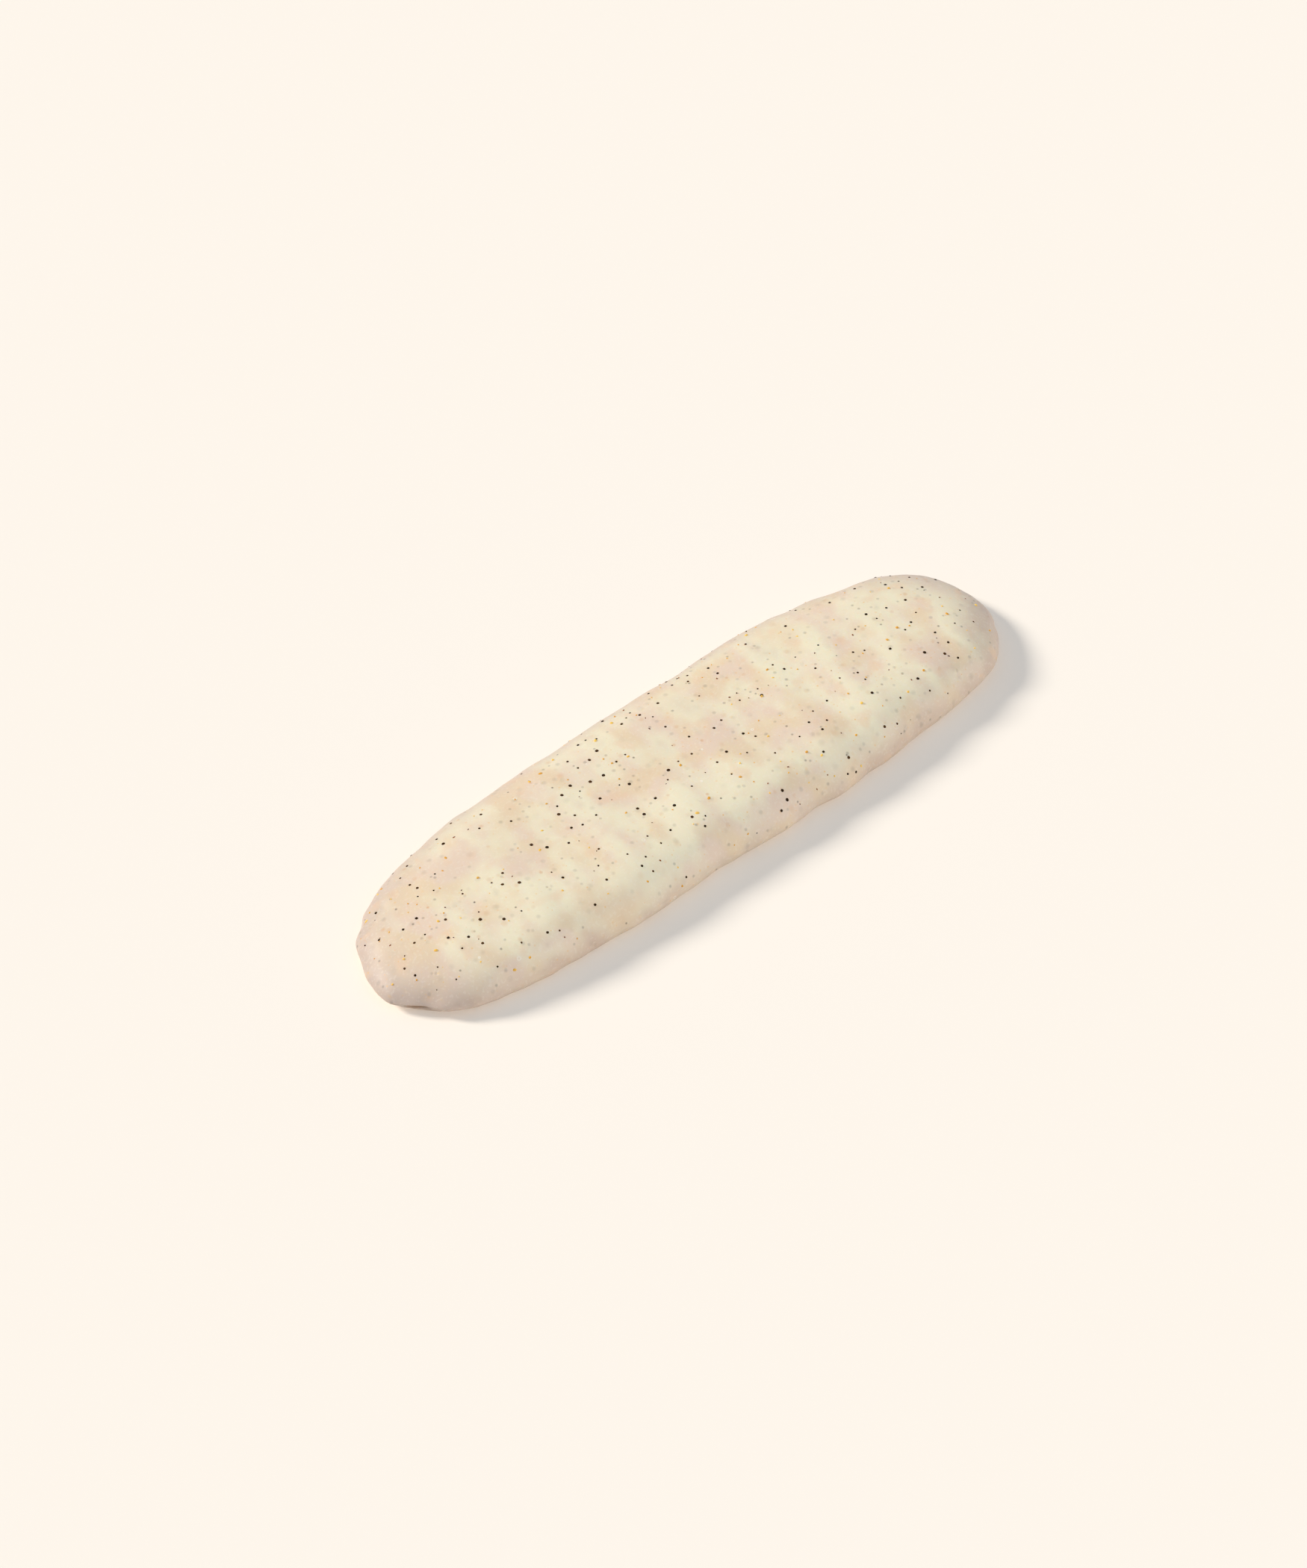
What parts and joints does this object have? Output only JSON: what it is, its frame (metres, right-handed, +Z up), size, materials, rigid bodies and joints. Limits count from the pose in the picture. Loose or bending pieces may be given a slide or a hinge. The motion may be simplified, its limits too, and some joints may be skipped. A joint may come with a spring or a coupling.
{
  "type": "langue de chat biscuit",
  "caption": "Long finger biscuit with round ends, wholly covered by a pale vanilla coating with dark seeds in it. It lies flat on its underside.",
  "frame": {"origin": "on the flat underside, in the middle of the biscuit's length and width", "axes": "+X along the biscuit towards its slightly wider end, +Y across it, +Z up from the underside"},
  "size_m": [0.0906, 0.0262, 0.0058],
  "materials": {
    "coating": "satin, slightly translucent"
  },
  "bodies": {
    "root": {"coated_biscuit": "coating"}
  },
  "joints": []
}
